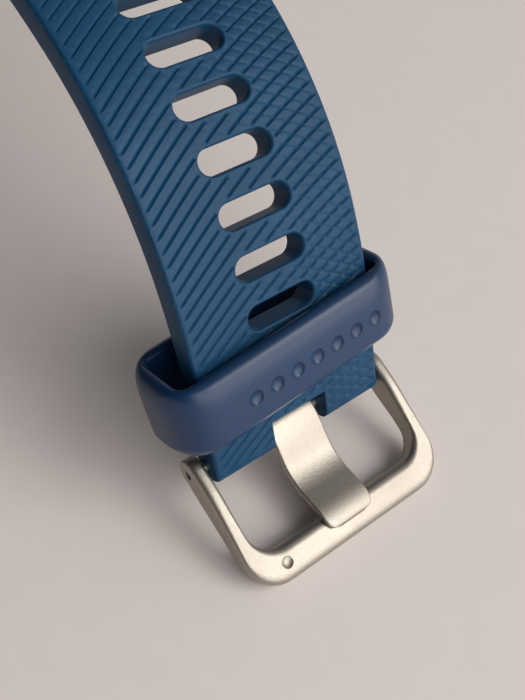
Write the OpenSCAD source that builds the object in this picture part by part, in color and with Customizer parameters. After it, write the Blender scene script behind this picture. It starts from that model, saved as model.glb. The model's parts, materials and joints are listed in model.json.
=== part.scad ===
// Golf GPS watch standing on its open strap, lengths in millimetres.
// Origin: centre of the case back's outer face. +Z points out through the display,
// +X runs across the strap and -Y points to the buckle half of the strap.

/* [Case] */
// Outer radius of the case shell
case_r = 21.5; // [21.2:0.1:22]
// Height of the top edge of the bezel above the case back
case_top = 12; // [11.8:0.1:12.6]
// Distance of each lug axis from the middle of the case
lug_y = 24.2; // [24:0.1:25]
// Height of the lug axes above the case back
lug_z = 3.4; // [3.3:0.1:3.6]

/* [Buttons] */
// Angle of the push buttons from the case's X axis
button_angle = 35; // [30:1:38]
// Height of the button axes
button_z = 6.4; // [6.3:0.05:6.5]
// How far a button travels inwards
button_travel = 0.8; // [0.5:0.1:0.8]

/* [Strap] */
// Width of both strap halves
strap_w = 22; // [21.8:0.1:22]
// Thickness of the rubber
strap_t = 3; // [2.6:0.1:3]
// Distance between neighbouring slots
slot_pitch = 5; // [4.8:0.1:5.2]
// Length of a slot, across the strap
slot_l = 8; // [7:0.1:9]
// Width of a slot, along the strap
slot_w = 2.5; // [2.2:0.1:2.7]
// Number of slots in the buckle half
buckle_slots = 8; // [6:1:8]
// Number of slots in the tail half
tail_slots = 14; // [10:1:14]
// Length of the tail half, from the lug axis to the tip
tail_l = 118; // [112:1:125]

/* [Keeper] */
// Length of the keeper loop along the strap
keeper_l = 8; // [7:0.1:8.4]
// Width of the keeper loop over its rounded ends
keeper_w = 29.2; // [28.8:0.1:29.6]
// Thickness of the keeper walls
keeper_wall = 2.1; // [1.8:0.1:2.2]

/* [Buckle] */
// Width of the buckle frame over its arms
buckle_w = 26; // [25.8:0.1:27]
// Distance from the spring bar to the outer edge of the cross bar
buckle_l = 14.4; // [14:0.1:15]
// Width of the cross bar that the tongue rests on
cross_bar_w = 3.7; // [3.4:0.1:3.8]
// Width of the tongue
tongue_w = 6.2; // [5:0.1:6.4]
// Angle between the buckle frame and the strap behind it
buckle_tilt = 39; // [36:1:42]

/* [Hidden] */
$fn = 64;
eps = 0.01;

// Case levels, from the case back up
cover_t = 1.5;
ledge_z = 1.55;
cavity_z = 3.2;
shell_top = 9.4;
board_z = 4.9;
board_t = 0.7;
lens_z = 10.1;

// Case radii
cavity_r = 17.6;
cover_r = 18.6;
hatch_r = 15;
screw_ring_r = 16.8;

// Push buttons, measured outwards along each button's axis
stem_r = 1;
cap_r = 2.1;
stem_end = 16.8;
cap_seat = 20.95;
cap_end = 22.9;
clip_z = 17.1;
seal_z = 18.95;
button_notch = 15.75;
button_notch_r = 1.75;
button_places = [button_angle, -button_angle, 180 - button_angle, 180 + button_angle];

// Lug spring bars
barrel_r = 2.1;
lug_gap = 22.4;
lug_wall = 3;
bar_r = 0.9;
bar_bore = 0.55;
pin_r = 0.5;
pin_reach = 12.7;
release_travel = 1.5;

// Buckle spring bar
buckle_bar_r = 0.75;
buckle_pin_r = 0.4;
running = 0.05;

// Each strap half is a chain of [length, downward turn] stretches from its lug axis
end_overhang = 2.2;
shoulder = [20, 19];
bow = [23, 34];
buckle_path = [shoulder, bow, [12, 11], [8, 0]];
buckle_run = 63;
straight_end = buckle_run + end_overhang - strap_t / 2;
foot_r = 24;
foot = [foot_r * 53 * PI / 180, -53];

bar_drop = 0.9;
notch_w = 7.1;
notch_l = 1.9;
bar_round_r = 1.25;
frame_rise = 0.95;
knob_r = 1.7;
strap_end = along(buckle_path, straight_end);
buckle_bar = beside(strap_end, -bar_drop);
frame_dip = strap_end[2] - buckle_tilt;
floor_z = lug_z + buckle_bar[1] - (buckle_l - bar_round_r) * sin(frame_dip)
    + frame_rise * cos(frame_dip) - bar_round_r;
tail_knee = along([shoulder, bow], shoulder[0] + bow[0]);
tail_drop = lug_z + tail_knee[1] - foot_r * (1 - cos(53)) - floor_z - strap_t / 2;
tail_shin = tail_drop / sin(53);
tail_flat = tail_l - shoulder[0] - bow[0] - tail_shin - foot[0];
tail_path = [shoulder, bow, [tail_shin, 0], foot, [tail_flat, 0]];

tongue_t = 0.9;
loop_r = 1.35;
tongue_lift = 0.88;
tongue_path = [[2.6, 14], [1.4, 0], [4.4, -44], [1.9, 0], [2.4, 34]];
tongue_run = 13;
tongue_shift = -0.3;

keeper_s = 4.8;
keeper_shift = -0.25;
keeper_skew = 5;
keeper_front = 1.85;
keeper_depth = 6.8;

// Where one stretch of a strap ends: [outward, up, downward heading]
function stretch(p, l, turn) =
    turn == 0 ? [p[0] + l * cos(p[2]), p[1] - l * sin(p[2]), p[2]]
    : let (r = l * 180 / (PI * turn))
      [p[0] + r * (sin(p[2] + turn) - sin(p[2])), p[1] + r * (cos(p[2] + turn) - cos(p[2])),
       p[2] + turn];
// Place and heading at distance d along a chain of stretches
function along(path, d, p = [0, 0, 0], i = 0) =
    (i == len(path) - 1 || d <= path[i][0])
    ? stretch(p, d, path[i][1] * d / path[i][0])
    : along(path, d - path[i][0], stretch(p, path[i][0], path[i][1]), i + 1);
// Half the strap's thickness, which grows towards the lug barrel
function half_t(d) = strap_t / 2 + (barrel_r - strap_t / 2) * pow(max(0, 1 - d / 10), 2);
function beside(p, h) = [p[0] + h * sin(p[2]), p[1] + h * cos(p[2])];
function nose_point(p, r, a, drop) = beside([p[0] + r * cos(a) * cos(p[2]),
    p[1] - r * cos(a) * sin(p[2]), p[2]], r * sin(a) - drop);
function nose(p, r, droop) = concat([for (a = [75:-15:0]) nose_point(p, r, a, 0)],
    [for (a = [0:-15:-90]) nose_point(p, r, a, droop)]);
// Side view of a strap half; a droop deepens its far end round a bore below the middle
function outline(path, run, n, droop = 0) = concat(
    [for (i = [0:n]) beside(along(path, run * i / n), half_t(run * i / n))],
    droop > 0 ? nose(along(path, run), strap_t / 2, droop) : [],
    [for (i = [n:-1:0]) if (droop == 0 || run * i / n < run - 4.5)
        beside(along(path, run * i / n), -half_t(run * i / n))]);

module buckle_half() { mirror([0, 1, 0]) children(); }
// Moves its children to distance d along a strap: +Y outwards, +Z out of the strap
module on_strap(path, d) {
    p = along(path, d);
    translate([0, lug_y + p[0], lug_z + p[1]]) rotate([-p[2], 0, 0]) children();
}
module at_strap_end() { buckle_half() on_strap(buckle_path, buckle_run) children(); }
// The buckle's spring bar lies below the middle of the strap's end
module at_buckle_bar() {
    at_strap_end() translate([0, end_overhang - strap_t / 2, -bar_drop]) children();
}
module in_buckle_plane() { at_buckle_bar() rotate([buckle_tilt, 0, 0]) children(); }
// Extrudes a side view of [outward, up] across the strap
module across(w) {
    rotate([90, 0, 90]) translate([0, 0, -w / 2]) linear_extrude(w) children();
}
module x_rod(r, x0, x1) { translate([x0, 0, 0]) rotate([0, 90, 0]) cylinder(r = r, h = x1 - x0); }
module at_button(place) {
    rotate([0, 0, button_places[place]]) translate([0, 0, button_z]) rotate([0, 90, 0])
        children();
}
module at_buttons() { for (i = [0:3]) at_button(i) children(); }
module ring(r0, r1, z0, z1) {
    translate([0, 0, z0]) difference() {
        cylinder(r = r1, h = z1 - z0);
        translate([0, 0, -eps]) cylinder(r = r0, h = z1 - z0 + 2 * eps);
    }
}
module disc(r, z0, z1) { translate([0, 0, z0]) cylinder(r = r, h = z1 - z0); }
module block(size, at) {
    translate([at[0] - size[0] / 2, at[1] - size[1] / 2, at[2]]) cube(size);
}
// A wire coil along X, as rings of points joined into one closed sweep
module coil(x0, x1, r, wire, turns) {
    steps = turns * 10;
    sides = 6;
    points = [for (i = [0:steps], k = [0:sides - 1])
        let (a = i * 36, c = r + wire * cos(k * 60))
        [x0 + wire + (x1 - x0 - 2 * wire) * i / steps + wire * sin(k * 60), c * cos(a),
         c * sin(a)]];
    walls = [for (i = [0:steps - 1], k = [0:sides - 1], half = [0, 1])
        let (n = (k + 1) % sides, a = i * sides, b = a + sides)
        half == 0 ? [a + k, a + n, b + n] : [a + k, b + n, b + k]];
    caps = [[for (k = [sides - 1:-1:0]) k], [for (k = [0:sides - 1]) steps * sides + k]];
    polyhedron(points, concat(walls, caps), convexity = 10);
}

// ---- Case ----

module lug_horn() {
    across(lug_wall) union() {
        translate([lug_y, lug_z]) circle(r = 2.3);
        polygon([[16, lug_z - 2.3], [lug_y, lug_z - 2.3], [lug_y + 1.9, lug_z + 1.3],
                 [21.5, 7.6], [16, 8.8]]);
    }
}
module case_shell() {
    color("dimgray") difference() {
        union() {
            rotate_extrude($fn = 128)
                polygon([[cavity_r, cavity_z], [hatch_r, cavity_z], [hatch_r, ledge_z],
                         [cover_r + running, ledge_z], [cover_r + running, 0.6], [20, 0.6],
                         [case_r, 2.2], [case_r, 8.5], [case_r - 0.6, shell_top],
                         [cavity_r, shell_top]]);
            for (x = [-1, 1], y = [0, 1]) mirror([0, y, 0])
                translate([x * (lug_gap + lug_wall) / 2, 0, 0]) lug_horn();
        }
        for (y = [0, 1]) mirror([0, y, 0]) translate([0, lug_y, lug_z]) {
            x_rod(barrel_r + 0.4, -lug_gap / 2, lug_gap / 2);
            x_rod(bar_bore, -pin_reach - 0.2, pin_reach + 0.2);
        }
        ring(15.25, 15.95, ledge_z - eps, 2.1);
        at_buttons() {
            disc(stem_r + running, cavity_r - 1, case_r + 1);
            disc(stem_r + 0.55, seal_z - 0.35, seal_z + 0.35);
            disc(cap_r + 0.15, cap_seat - button_travel - running, case_r + 2);
        }
        for (i = [0:3]) rotate([0, 0, 45 + 90 * i]) translate([screw_ring_r, 0, ledge_z - eps])
            cylinder(r = 0.6, h = 1.5);
    }
}
module bezel() {
    color("slategray") rotate_extrude($fn = 128)
        polygon([[15.9, shell_top], [21, shell_top], [21.3, shell_top + 0.5],
                 [20.6, case_top - 0.6], [19.4, case_top], [17.9, case_top - 0.2],
                 [17.5, case_top - 0.5], [17.5, shell_top + 0.45], [15.9, shell_top + 0.45]]);
}
module lens() {
    color("lightcyan") rotate_extrude($fn = 128)
        polygon([[0, lens_z], [17.4, lens_z], [17.4, lens_z + 1.2], [17.1, lens_z + 1.5],
                 [0, lens_z + 1.5]]);
}
module lens_seal() { color("black") ring(16, 17.4, shell_top + 0.45, lens_z, $fn = 96); }
module display_panel() {
    color("darkslategray") difference() {
        disc(16.4, 8.05, 9.3);
        block([20, 4, 2], [0, 17.2, 8]);
    }
}
module display_chassis() {
    color("gray") difference() {
        disc(17.3, 7.3, 8);
        block([22, 12, 2], [0, 0, 7]);
        at_buttons() disc(button_notch_r, button_notch, 18);
    }
}
module main_board() {
    color("darkgreen") difference() {
        disc(17.2, board_z, board_z + board_t);
        at_buttons() disc(button_notch_r, button_notch, 18);
    }
}
module shield_cans() {
    color("silver") {
        block([11, 9, 1.2], [-5.5, -3.5, board_z + board_t]);
        block([8, 8, 1.2], [6.5, -3.5, board_z + board_t]);
    }
}
module gps_antenna() { color("tan") block([9, 9, 1.5], [0, 9.5, board_z + board_t]); }
module tact_switches() {
    color("gainsboro") at_buttons() union() {
        translate([-0.8, -1.6, 14.2]) cube([1.6, 3.2, 1.4]);
        disc(0.6, 15.5, 15.95);
    }
}
module battery() {
    color("silver") intersection() {
        block([22, 17, 2.9], [0, 0, 1.75]);
        disc(13.2, 1, 5);
    }
}
module battery_cradle() {
    color("black") difference() {
        disc(17.3, 3.3, 4.75);
        block([22.4, 17.4, 3], [0, 0, 2]);
        for (y = [-1, 1]) translate([0, y * 11.75, 0]) disc(3.2, 2, 5);
    }
}
module vibration_motor() { color("silver") translate([0, -11.75, 0]) disc(3.1, 1.8, 4.4); }
module beeper() { color("goldenrod") translate([0, 11.75, 0]) disc(3.1, 2.6, 4.2); }
module back_cover() {
    color("dimgray") difference() {
        disc(cover_r, 0, cover_t, $fn = 128);
        block([15, 3.6, 1], [0, 10.5, -0.5]);
        for (i = [0:3]) translate([-5.4 + 3.6 * i, 10.5, 0]) disc(0.95, -1, 3);
        for (i = [0:3]) rotate([0, 0, 45 + 90 * i]) translate([screw_ring_r, 0, 0]) {
            disc(0.75, -1, 3);
            disc(1.3, -1, 0.8);
        }
    }
}
module back_seal() {
    color("firebrick") rotate_extrude($fn = 96) translate([15.6, 1.81]) circle(r = 0.28);
}
module back_screws() {
    color("silver") for (i = [0:3]) rotate([0, 0, 45 + 90 * i])
        translate([screw_ring_r, 0, 0]) difference() {
            union() {
                disc(1.2, 0.1, 0.8);
                disc(0.55, 0.8 - eps, 3);
            }
            translate([0, 0, 0.1 - eps]) cylinder(r = 0.6, h = 0.4, $fn = 6);
        }
}
module charge_pads() {
    color("gold") for (i = [0:3]) translate([-5.4 + 3.6 * i, 10.5, 0]) disc(0.9, 0.45, 1.65);
}

// ---- Buttons ----

module button(place) {
    color("silver") at_button(place) rotate_extrude()
        polygon([[0, stem_end], [stem_r, stem_end], [stem_r, clip_z - 0.02],
                 [0.75, clip_z - 0.02], [0.75, clip_z + 0.4], [stem_r, clip_z + 0.4],
                 [stem_r, cap_seat], [cap_r, cap_seat], [cap_r, cap_end - 0.4],
                 [cap_r - 0.4, cap_end], [0, cap_end]]);
}
module clip(place) {
    color("silver") at_button(place) difference() {
        ring(0.77, 1.4, clip_z, clip_z + 0.38);
        translate([0, -0.6, clip_z - 1]) cube([2, 1.2, 2]);
    }
}
module button_seals() {
    color("black") at_buttons() rotate_extrude() translate([1.29, seal_z]) circle(r = 0.25);
}

// ---- Strap ----

module slot_cut() {
    flat = (slot_l - slot_w) / 2;
    linear_extrude(6, center = true) union() {
        translate([-flat, -slot_w / 2]) square([2 * flat, slot_w]);
        for (x = [-flat, flat]) translate([x, 0]) circle(d = slot_w, $fn = 48);
    }
}
// The barrel round the lug bar, with the window that its release lever slides in
module lug_barrel_cut() {
    x_rod(bar_r + 0.03, -strap_w, strap_w);
    translate([7.4 - 1.4 - release_travel - 0.3, -0.8, -3]) cube([1.8 + release_travel, 1.6, 3]);
}
module buckle_strap() {
    color("steelblue") buckle_half() difference() {
        translate([0, lug_y, lug_z]) union() {
            across(strap_w) polygon(outline(buckle_path, straight_end, 52, bar_drop));
            x_rod(barrel_r, -strap_w / 2, strap_w / 2);
        }
        translate([0, lug_y, lug_z]) lug_barrel_cut();
        for (i = [0:buckle_slots - 1])
            on_strap(buckle_path, buckle_run - 14 - i * slot_pitch) slot_cut();
        on_strap(buckle_path, straight_end) translate([0, 0, -bar_drop])
            x_rod(buckle_bar_r + running, -strap_w, strap_w);
        on_strap(buckle_path, buckle_run)
            translate([-notch_w / 2, -notch_l, -3]) cube([notch_w, 6, 6]);
    }
}
module tail_strap() {
    tip_r = 9;
    color("steelblue") difference() {
        translate([0, lug_y, lug_z]) union() {
            across(strap_w) polygon(outline(tail_path, tail_l, 84));
            x_rod(barrel_r, -strap_w / 2, strap_w / 2);
        }
        translate([0, lug_y, lug_z]) lug_barrel_cut();
        for (i = [0:tail_slots - 1]) on_strap(tail_path, tail_l - 9 - i * slot_pitch) slot_cut();
        for (x = [0, 1]) mirror([x, 0, 0]) on_strap(tail_path, tail_l) difference() {
            translate([strap_w / 2 - tip_r, -tip_r, -3]) cube([tip_r + 1, tip_r + 1, 6]);
            translate([strap_w / 2 - tip_r, -tip_r, -4]) cylinder(r = tip_r, h = 8);
        }
    }
}

// ---- Lug spring bars ----

module at_lug(side) { mirror([0, side, 0]) translate([0, lug_y, lug_z]) children(); }
module bar_tube(side) {
    color("silver") at_lug(side) difference() {
        x_rod(bar_r, -10.7, 10.7);
        x_rod(bar_bore, -11, 11);
        translate([7.4 - 1.4 - release_travel - 0.2, -0.55, -2])
            cube([1.6 + release_travel, 1.1, 2]);
    }
}
module bar_spring(side) { color("darkgray") at_lug(side) coil(-8.8, 5.1, 0.36, 0.11, 9); }
module fixed_pin(side) { color("silver") at_lug(side) x_rod(pin_r, -pin_reach, -9); }
module release_pin(side) {
    color("silver") at_lug(side) union() {
        x_rod(pin_r, 5.3, pin_reach);
        translate([6, -0.45, -2.3]) cube([1.2, 0.9, 2.3]);
    }
}

// ---- Keeper ----

module rounded(w, h, r) {
    union() {
        square([w - 2 * r, h], center = true);
        square([w, h - 2 * r], center = true);
        for (x = [-1, 1], y = [-1, 1])
            translate([x * (w / 2 - r), y * (h / 2 - r)]) circle(r = r);
    }
}
module keeper() {
    middle = keeper_front - keeper_depth / 2;
    color("midnightblue") at_strap_end()
        translate([keeper_shift, -keeper_s - keeper_l / 2, middle]) rotate([0, 0, -keeper_skew])
        rotate([90, 0, 0]) translate([0, 0, -keeper_l / 2]) linear_extrude(keeper_l) difference() {
            rounded(keeper_w, keeper_depth + 2 * keeper_wall, 5);
            rounded(keeper_w - 2 * keeper_wall, keeper_depth, 0.6);
        }
}

// ---- Buckle ----

module open_end(w, l, r) {
    union() {
        translate([-w / 2, 0]) square([w, l - r]);
        translate([-w / 2 + r, 0]) square([w - 2 * r, l]);
        for (x = [-1, 1]) translate([x * (w / 2 - r), l - r]) circle(r = r);
    }
}
// The tongue's side view starts on its loop and swings down, up and over the cross bar
module tongue_profile(grow) {
    half = tongue_t / 2 + grow;
    steps = [for (i = [0:26]) along(tongue_path, tongue_run * i / 26)];
    polygon(concat([for (p = steps) beside(p, tongue_lift + half)],
                   [for (i = [26:-1:0]) beside(steps[i], tongue_lift - half)]));
}
module frame_side() {
    top = frame_rise + bar_round_r;
    bottom = frame_rise - bar_round_r;
    bar_middle = buckle_l - bar_round_r;
    polygon([[0, knob_r], [2.5, top], [bar_middle, top], [bar_middle, bottom], [9.5, bottom],
             [0.8, -1.5], [0, -knob_r]]);
}
module buckle_frame() {
    inner_w = buckle_w - 3;
    color("gainsboro") in_buckle_plane() difference() {
        intersection() {
            translate([0, -2, -2]) linear_extrude(4.5) difference() {
                open_end(buckle_w, buckle_l + 2, 4);
                translate([0, -1]) open_end(inner_w, buckle_l - cross_bar_w + 3, 3);
            }
            union() {
                across(buckle_w + 1) frame_side();
                x_rod(knob_r, -buckle_w, buckle_w);
                translate([0, buckle_l - bar_round_r, frame_rise])
                    x_rod(bar_round_r, -buckle_w, buckle_w);
            }
        }
        x_rod(buckle_pin_r + running, -buckle_w, buckle_w);
        translate([tongue_shift, 0, 0]) across(tongue_w + 0.4) tongue_profile(0.08);
    }
}
module buckle_tongue() {
    color("gainsboro") in_buckle_plane() translate([tongue_shift, 0, 0]) difference() {
        union() {
            x_rod(loop_r, -tongue_w / 2, tongue_w / 2);
            across(tongue_w) tongue_profile(0);
        }
        x_rod(buckle_bar_r + running, -tongue_w, tongue_w);
    }
}
module buckle_bar_tube() {
    color("silver") at_buckle_bar() difference() {
        x_rod(buckle_bar_r, -11.2, 11.2);
        x_rod(buckle_pin_r + 0.03, -12, 12);
    }
}
module buckle_bar_pins() {
    color("silver") at_buckle_bar() for (x = [0, 1]) mirror([x, 0, 0])
        x_rod(buckle_pin_r, 9.2, buckle_w / 2 - 0.6);
}
module buckle_bar_spring() { color("darkgray") at_buckle_bar() coil(-9.1, 9.1, 0.29, 0.1, 10); }

case_shell();
bezel();
lens();
lens_seal();
display_panel();
display_chassis();
main_board();
shield_cans();
gps_antenna();
tact_switches();
battery();
battery_cradle();
vibration_motor();
beeper();
back_cover();
back_seal();
back_screws();
charge_pads();
button(0);  // button_select
button(1);  // button_back
button(2);  // button_light
button(3);  // button_scroll
clip(0);  // select_clip
clip(1);  // back_clip
clip(2);  // light_clip
clip(3);  // scroll_clip
button_seals();
buckle_strap();
tail_strap();
bar_tube(1);  // front_bar_tube
bar_spring(1);  // front_bar_spring
fixed_pin(1);  // front_fixed_pin
release_pin(1);  // front_release_pin
bar_tube(0);  // rear_bar_tube
bar_spring(0);  // rear_bar_spring
fixed_pin(0);  // rear_fixed_pin
release_pin(0);  // rear_release_pin
keeper();
buckle_frame();
buckle_tongue();
buckle_bar_tube();
buckle_bar_pins();
buckle_bar_spring();
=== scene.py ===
"""Golf GPS watch standing on its open strap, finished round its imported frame."""

import json
import math

import bmesh
import bpy
from bpy.props import FloatProperty, FloatVectorProperty, IntProperty, PointerProperty
from mathutils import Matrix, Vector


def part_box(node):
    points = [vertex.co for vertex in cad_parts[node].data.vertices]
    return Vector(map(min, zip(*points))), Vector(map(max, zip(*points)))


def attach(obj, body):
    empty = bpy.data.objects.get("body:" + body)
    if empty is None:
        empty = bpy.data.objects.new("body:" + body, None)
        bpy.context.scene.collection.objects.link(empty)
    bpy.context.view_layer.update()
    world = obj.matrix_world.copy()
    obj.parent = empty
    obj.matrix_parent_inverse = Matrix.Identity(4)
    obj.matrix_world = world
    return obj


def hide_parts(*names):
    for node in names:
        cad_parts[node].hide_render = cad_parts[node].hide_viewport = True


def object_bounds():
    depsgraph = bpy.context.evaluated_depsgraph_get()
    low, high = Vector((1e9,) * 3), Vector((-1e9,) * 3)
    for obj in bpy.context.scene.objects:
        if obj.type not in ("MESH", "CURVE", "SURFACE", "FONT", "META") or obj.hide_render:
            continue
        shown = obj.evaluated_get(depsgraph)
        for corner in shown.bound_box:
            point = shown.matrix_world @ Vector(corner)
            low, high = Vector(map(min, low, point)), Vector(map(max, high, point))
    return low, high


bl_info = {
    "name": "Golf GPS watch",
    "version": (1, 0, 0),
    "blender": (4, 5, 0),
    "location": "3D View > Sidebar > Watch",
    "description": "Ribbed rubber strap, keeper, buckle and case finish round the packed frame",
    "category": "Object",
}

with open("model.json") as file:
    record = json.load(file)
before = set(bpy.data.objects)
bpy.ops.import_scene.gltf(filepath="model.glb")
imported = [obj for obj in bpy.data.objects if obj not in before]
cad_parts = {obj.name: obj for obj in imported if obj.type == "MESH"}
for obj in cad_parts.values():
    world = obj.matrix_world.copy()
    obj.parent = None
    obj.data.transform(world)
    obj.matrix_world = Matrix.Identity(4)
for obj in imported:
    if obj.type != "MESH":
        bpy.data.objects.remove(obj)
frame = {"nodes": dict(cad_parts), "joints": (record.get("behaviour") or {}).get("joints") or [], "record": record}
cad_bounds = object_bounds()

# Shapes are made in millimetres, as in the part's source, and scaled when they are finished.
MM = 0.001
JOINTS = {joint["name"]: joint for joint in frame["joints"]}


def joint_place(name):
    """Where a joint's axis passes, in millimetres."""
    return Vector(JOINTS[name]["pos_m"]) / MM


LUG_Y = joint_place("tail_half_swing").y
LUG_Z = joint_place("tail_half_swing").z
BUCKLE_BAR = joint_place("buckle_turn")
FLOOR_Z = cad_bounds[0][2]
BUCKLE_DIP = math.radians(25)
STRAP_W, STRAP_T, BARREL_R = 22, 3, 2.1
LUG_BORE_R, BUCKLE_BORE_R, PIN_HOLE_R = 0.93, 0.8, 0.45
SLOT_PITCH, SLOT_HALF, SLOT_R = 5, 2.75, 1.25
# Stretches of the buckle half from its lug: length and downward turn in degrees
BUCKLE_PATH = [(20, 19), (23, 34), (12, 11), (8, 0)]
BUCKLE_RUN = 63
NOSE_START = 63.7
BAR_DROP = 0.9
NOTCH_HALF, NOTCH_END = 3.55, 1.9
TAIL_L, TAIL_TIP_R = 118, 9
BEND_RUN = 43
FOOT_R, FOOT_TURN = 24, 53
KEEPER_W, KEEPER_L, KEEPER_WALL, KEEPER_DEPTH = 29.2, 8, 2.1, 6.8
KEEPER_S, KEEPER_FRONT, KEEPER_SKEW = 4.8, 1.85, math.radians(5)
KEEPER_R, KEEPER_INNER_R = 5.0, 0.6
DIMPLE_R, DIMPLE_RISE = 1.15, 0.75
BUCKLE_W, BUCKLE_L, ARM_W, CROSS_BAR_W = 26, 14.4, 1.5, 3.7
BUCKLE_R, WINDOW_R, KNOB_R = 4, 3, 1.7
BAR_TOP, BAR_BOTTOM = 2.2, -0.3


# ---- Where things lie on the strap ----


def stretch(place, length, turn):
    """Where one stretch of strap ends: outward, up and downward heading in degrees."""
    out, up, heading = place
    h = math.radians(heading)
    if abs(turn) < 1e-9:
        return out + length * math.cos(h), up - length * math.sin(h), heading
    t = math.radians(turn)
    r = length / t
    return (
        out + r * (math.sin(h + t) - math.sin(h)),
        up + r * (math.cos(h + t) - math.cos(h)),
        heading + turn,
    )


def along(path, distance):
    """Place and heading at a distance from the lug axis."""
    place = (0, 0, 0)
    for length, turn in path[:-1]:
        if distance <= length:
            return stretch(place, distance, turn * distance / length)
        place = stretch(place, length, turn)
        distance -= length
    length, turn = path[-1]
    return stretch(place, distance, turn * distance / length)


def tail_path():
    """The tail half's stretches; its shin is as long as the floor is deep."""
    turn = math.radians(FOOT_TURN)
    foot = turn * FOOT_R
    knee = LUG_Z + along(BUCKLE_PATH[:2], BEND_RUN)[1]
    drop = knee - FOOT_R * (1 - math.cos(turn)) - FLOOR_Z / MM - STRAP_T / 2
    shin = drop / math.sin(turn)
    flat = TAIL_L - BEND_RUN - shin - foot
    return BUCKLE_PATH[:2] + [(shin, 0), (foot, -FOOT_TURN), (flat, 0)]


def half_t(distance):
    """Half the strap's thickness, which grows towards the lug barrel."""
    return STRAP_T / 2 + (BARREL_R - STRAP_T / 2) * max(0, 1 - distance / 10) ** 2


def strap_frame(side, place):
    """X across, Y outwards along the strap, Z out of it; side is -1 for the buckle half."""
    out, up, heading = place
    c, s = math.cos(math.radians(heading)), math.sin(math.radians(heading))
    return Matrix(
        (
            (side, 0, 0, 0),
            (0, side * c, side * s, side * (LUG_Y + out)),
            (0, -s, c, LUG_Z + up),
            (0, 0, 0, 1),
        )
    )


def buckle_frame_at():
    """X across, Y from the spring bar towards the cross bar and Z out of the buckle."""
    c, s = math.cos(BUCKLE_DIP), math.sin(BUCKLE_DIP)
    return Matrix(
        (
            (1, 0, 0, BUCKLE_BAR.x),
            (0, -c, -s, BUCKLE_BAR.y),
            (0, -s, c, BUCKLE_BAR.z),
            (0, 0, 0, 1),
        )
    )


def smooth(low, high, value):
    """0 below low, 1 above high and an even curve between."""
    t = min(1, max(0, (value - low) / (high - low)))
    return t * t * (3 - 2 * t)


def mix(a, b, t):
    return a + (b - a) * t


# ---- Mesh steps ----


def open_ring(edges):
    return [g for g in edges if isinstance(g, bmesh.types.BMEdge) and g.is_boundary]


def loft(bm, count, stations, place, closed=False):
    """Draws a ring of count points through the stations, each point where place says."""
    rank = bm.verts.layers.int.get("rank") or bm.verts.layers.int.new("rank")
    ring = bmesh.ops.create_circle(bm, segments=count, radius=1)["verts"]
    for k, v in enumerate(ring):
        v[rank] = k
        v.co = place(k, stations[0])
    edges = list({e for v in ring for e in v.link_edges})
    first = edges
    for station in stations[1:]:
        made = bmesh.ops.extrude_edge_only(bm, edges=edges)["geom"]
        edges = open_ring(made)
        for v in {v for e in edges for v in e.verts}:
            v.co = place(v[rank], station)
    if not closed:
        for ends in (first, edges):
            bmesh.ops.holes_fill(bm, edges=ends)
    else:
        bmesh.ops.remove_doubles(bm, verts=bm.verts, dist=1e-4)
    return bm


def tidy(bm):
    bmesh.ops.remove_doubles(bm, verts=bm.verts, dist=1e-5)
    bmesh.ops.recalc_face_normals(bm, faces=bm.faces)
    return bm


def temporary(bm, name):
    mesh = bpy.data.meshes.new(name)
    bm.to_mesh(mesh)
    bm.free()
    obj = bpy.data.objects.new(name, mesh)
    bpy.context.scene.collection.objects.link(obj)
    return obj


def carve(bm, cutter):
    """bm with the cutter's shape taken out of it."""
    body, tool = temporary(tidy(bm), "blank"), temporary(tidy(cutter), "cutter")
    cut = body.modifiers.new("cut", "BOOLEAN")
    cut.object, cut.operation, cut.solver = tool, "DIFFERENCE", "EXACT"
    graph = bpy.context.evaluated_depsgraph_get()
    result = bpy.data.meshes.new_from_object(body.evaluated_get(graph))
    made = bmesh.new()
    made.from_mesh(result)
    for obj in (body, tool):
        mesh = obj.data
        bpy.data.objects.remove(obj)
        bpy.data.meshes.remove(mesh)
    bpy.data.meshes.remove(result)
    return made


def finish(bm, name, body, material, replaces=(), sharp=30):
    """Turns a mesh in millimetres into a finished piece that rides on a body."""
    bmesh.ops.remove_doubles(bm, verts=bm.verts, dist=1e-4)
    bmesh.ops.recalc_face_normals(bm, faces=bm.faces)
    bmesh.ops.scale(bm, vec=(MM, MM, MM), verts=bm.verts)
    mesh = bpy.data.meshes.new(name)
    bm.to_mesh(mesh)
    bm.free()
    mesh.polygons.foreach_set("use_smooth", [True] * len(mesh.polygons))
    mesh.set_sharp_from_angle(angle=math.radians(sharp))
    mesh.materials.append(material)
    piece = bpy.data.objects.new(name, mesh)
    bpy.context.scene.collection.objects.link(piece)
    even = piece.modifiers.new("even normals", "WEIGHTED_NORMAL")
    even.keep_sharp = True
    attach(piece, body)
    if replaces:
        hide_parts(*replaces)
    return piece


def box_cutter(bm, low, high, matrix):
    made = bmesh.ops.create_cube(bm, size=1)["verts"]
    low, high = Vector(low), Vector(high)
    size = high - low
    for v in made:
        v.co = matrix @ Vector(
            [(low[i] + high[i]) / 2 + v.co[i] * size[i] for i in range(3)]
        )
    return made


def rod_cutter(bm, radius, x0, x1, matrix, segments=32):
    """A round rod along the local X axis."""
    turn = Matrix.Rotation(math.pi / 2, 4, "Y")
    shift = Matrix.Translation(((x0 + x1) / 2, 0, 0))
    bmesh.ops.create_cone(
        bm,
        cap_ends=True,
        segments=segments,
        radius1=radius,
        radius2=radius,
        depth=x1 - x0,
        matrix=matrix @ shift @ turn,
    )


# ---- Strap halves ----


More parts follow.
